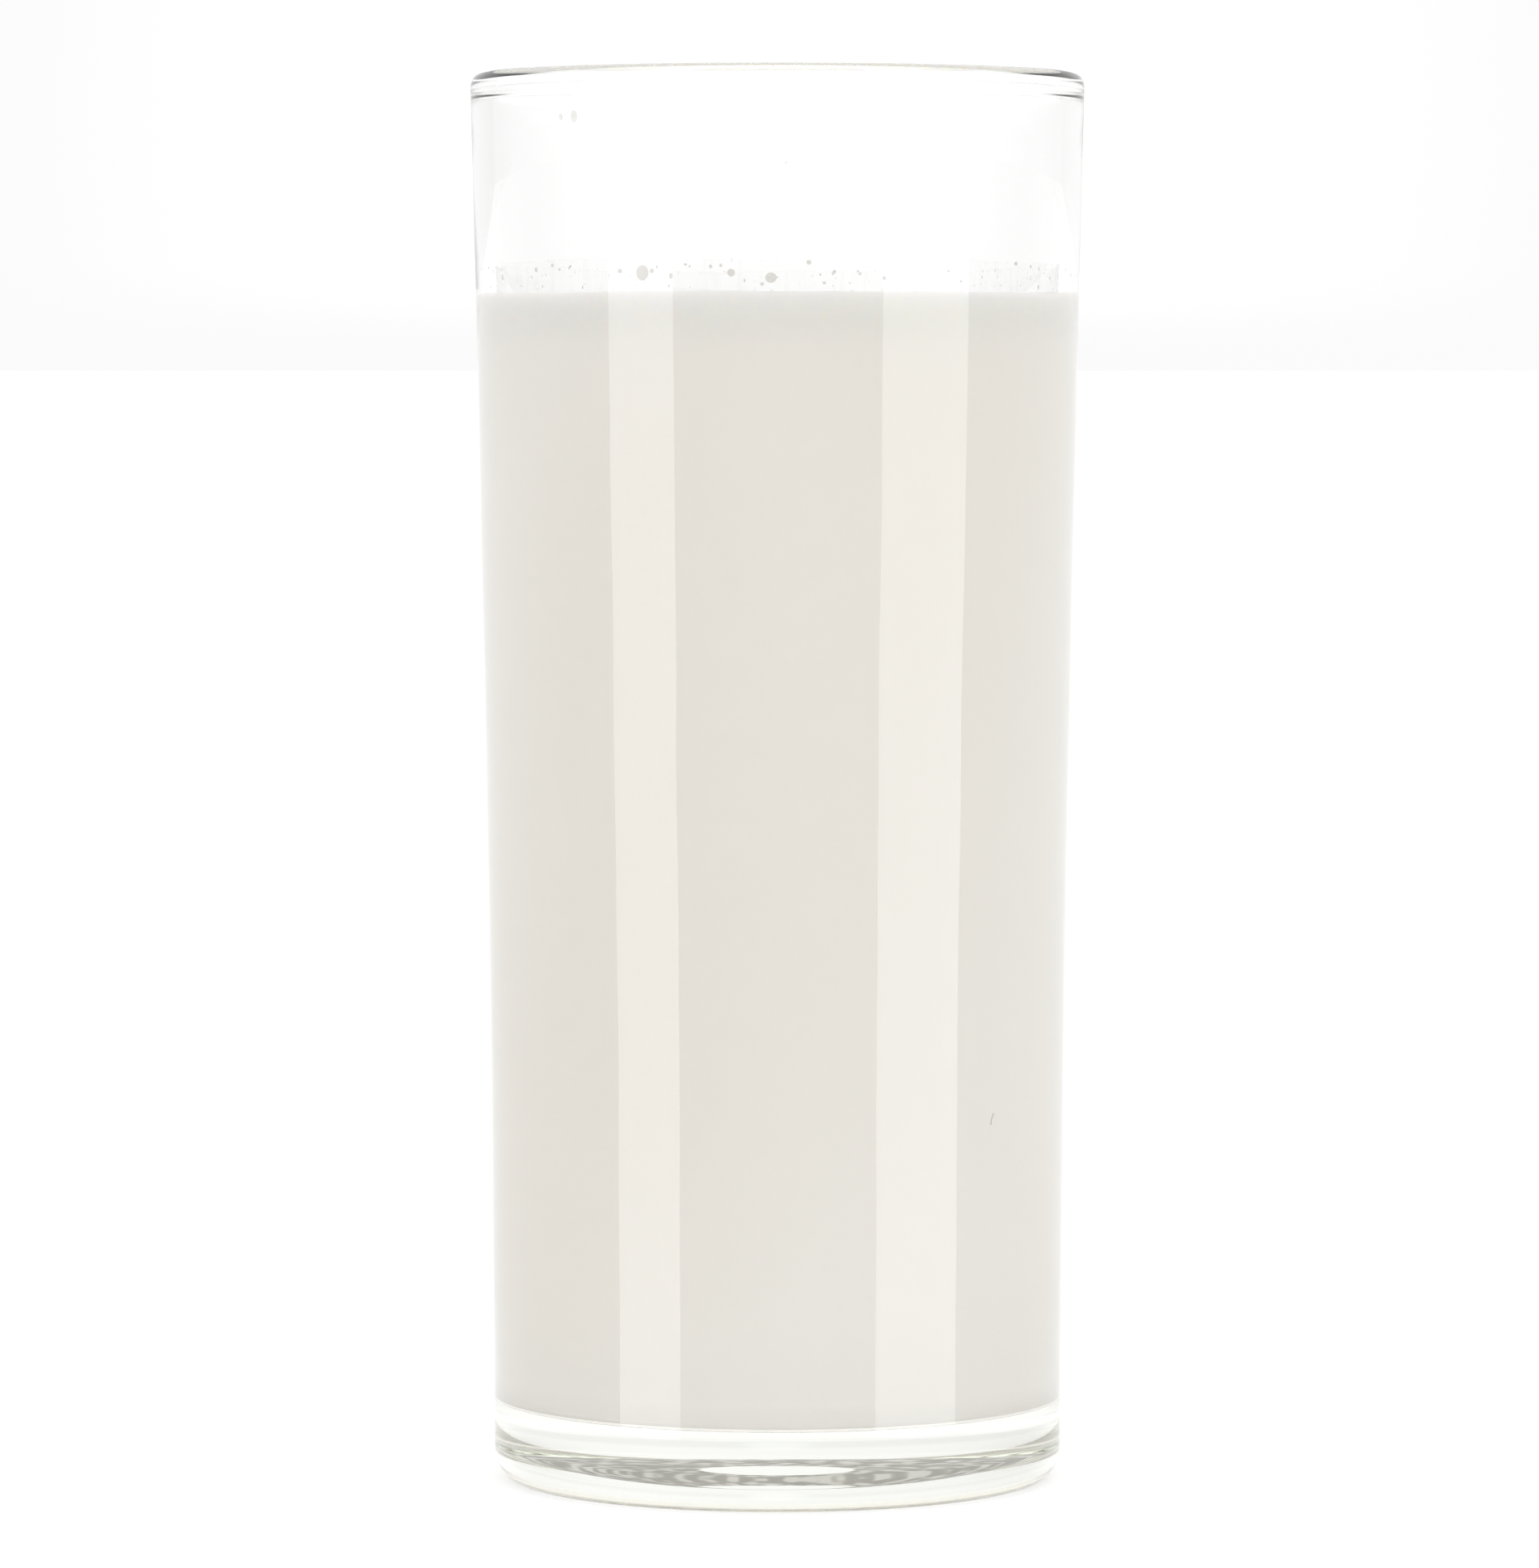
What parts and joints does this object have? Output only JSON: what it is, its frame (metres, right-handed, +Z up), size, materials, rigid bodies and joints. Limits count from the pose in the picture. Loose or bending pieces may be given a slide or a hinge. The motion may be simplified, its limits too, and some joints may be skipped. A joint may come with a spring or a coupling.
{
  "type": "glass of milk",
  "caption": "Tall clear tumbler with a gently flared wall, thick base and rounded rim, filled with milk to just below the rim.",
  "frame": {"origin": "on the tumbler's axis, on the surface that it stands on", "axes": "+Z up along the tumbler's axis; the part is round, so +X and +Y are free"},
  "size_m": [0.062, 0.062, 0.1425],
  "materials": {
    "clear_glass": "clear soda-lime glass, fire polished, very faintly green",
    "milk": "opaque warm white liquid with a wet surface"
  },
  "bodies": {
    "root": {"tumbler": "clear_glass", "milk": "milk"}
  },
  "joints": []
}
